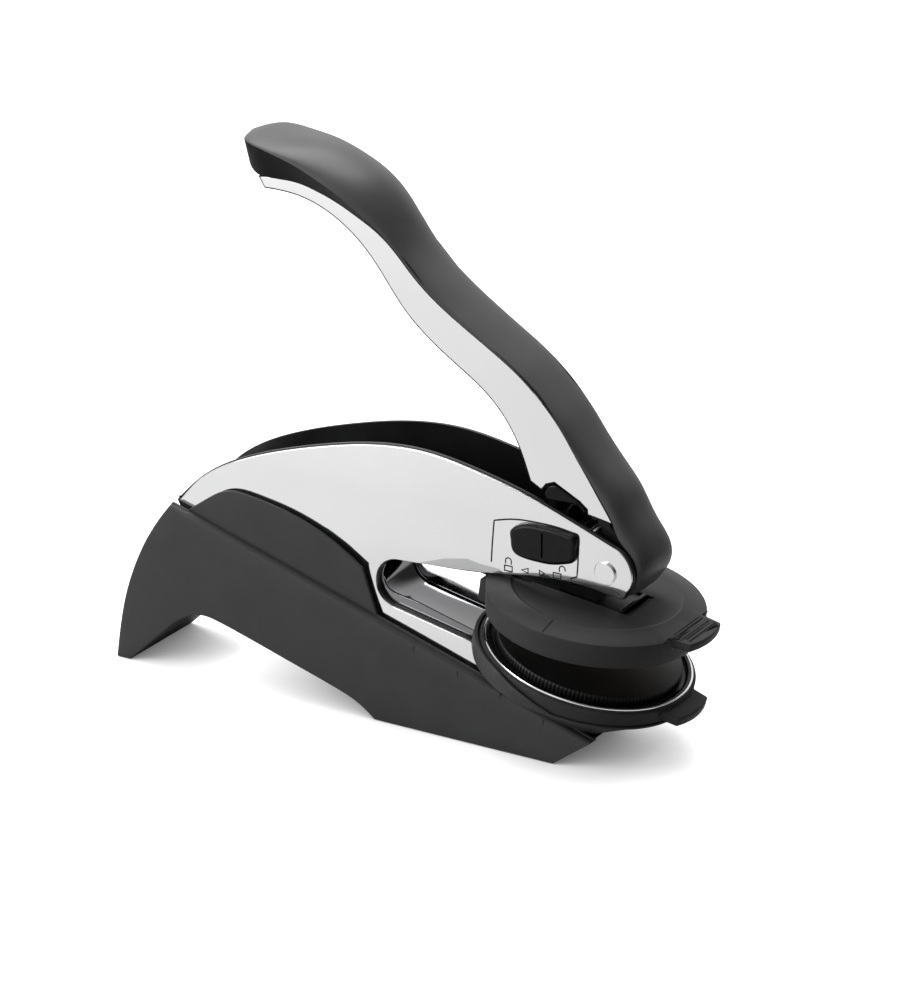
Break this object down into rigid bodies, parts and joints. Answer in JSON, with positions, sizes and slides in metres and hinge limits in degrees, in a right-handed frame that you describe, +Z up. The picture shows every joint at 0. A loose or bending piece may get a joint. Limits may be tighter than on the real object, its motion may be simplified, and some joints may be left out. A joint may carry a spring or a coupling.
{
  "type": "seal embosser",
  "caption": "Desk seal embosser: a sprung lever with a soft grip closes a hinged upper die disc on a lower one, in a chromed frame on a moulded base, with a lock slider.",
  "frame": {"origin": "middle of the front foot pad's underside, on the surface the embosser stands on", "axes": "+X towards the dies and their tabs, +Z up, Y across, with the lock slider on the -Y side"},
  "size_m": [0.1759, 0.0596, 0.1537],
  "materials": {
    "base_plastic": "fine matte texture",
    "pad_rubber": "plain",
    "chrome": "polished",
    "black_steel": "black, satin",
    "gloss_black": "glossy",
    "bright_steel": "bright",
    "inner_plastic": "plain",
    "grip_plastic": "soft satin",
    "die_plastic": "satin",
    "die_face_plastic": "finely ribbed edge",
    "die_face_brass": "satin",
    "bright_trim": "polished"
  },
  "bodies": {
    "base": {"base_shell": "base_plastic", "foot_pad_front": "pad_rubber", "foot_pad_rear": "pad_rubber", "side_cover_right": "chrome", "side_cover_left": "chrome", "frame_plate_right": "black_steel", "frame_plate_left": "black_steel", "channel_liner": "gloss_black", "throat_liner": "gloss_black", "die_nest": "base_plastic", "pivot_pin": "bright_steel", "arm_hinge_pin": "bright_steel", "tie_rods": "bright_steel", "base_screws": "bright_steel", "spring_seat": "inner_plastic"},
    "handle": {"handle_channel": "chrome", "handle_core": "inner_plastic", "handle_grip": "grip_plastic", "handle_catch": "gloss_black", "press_cam": "black_steel", "roller_pin": "bright_steel", "pivot_bushes": "inner_plastic"},
    "cam_roller": {"cam_roller": "bright_steel"},
    "die_arm": {"die_arm": "black_steel", "wear_pad": "bright_steel", "return_spring": "bright_steel"},
    "upper_die": {"upper_die_holder": "die_plastic", "upper_die_insert": "die_face_brass"},
    "lower_die": {"lower_die_holder": "die_plastic", "lower_rim_ring": "bright_trim", "lower_die_insert": "die_face_plastic"},
    "lock": {"lock_button": "gloss_black", "lock_pin": "bright_steel"}
  },
  "joints": [
    {"name": "handle_lever", "type": "hinge", "parent": "base", "child": "handle", "pos_m": [0.0405, 0, 0.0543], "axis": [0, -1, 0], "range_deg": [0, 37.5], "stiffness_Nm_per_rad": 0.3, "springref_deg": -45.84},
    {"name": "roller_spin", "type": "hinge", "parent": "handle", "child": "cam_roller", "pos_m": [0.02669, 0, 0.0506], "axis": [0, 1, 0], "continuous": true},
    {"name": "arm_hinge", "type": "hinge", "parent": "base", "child": "die_arm", "pos_m": [-0.036, 0, 0.038], "axis": [0, 1, 0], "range_deg": [0, 6.54], "deforming": ["return_spring"]},
    {"name": "upper_die_slide", "type": "slide", "parent": "die_arm", "child": "upper_die", "axis": [0.9914, 0, -0.1309], "range_m": [0, 0.036]},
    {"name": "lower_die_slide", "type": "slide", "parent": "base", "child": "lower_die", "axis": [0.97, 0, -0.2429], "range_m": [0, 0.036]},
    {"name": "lock_slide", "type": "slide", "parent": "base", "child": "lock", "axis": [-1, 0, 0], "range_m": [0, 0.005]}
  ],
  "couplings": [
    {"joint": "arm_hinge", "follows": "handle_lever", "ratio": 0.1744}
  ]
}
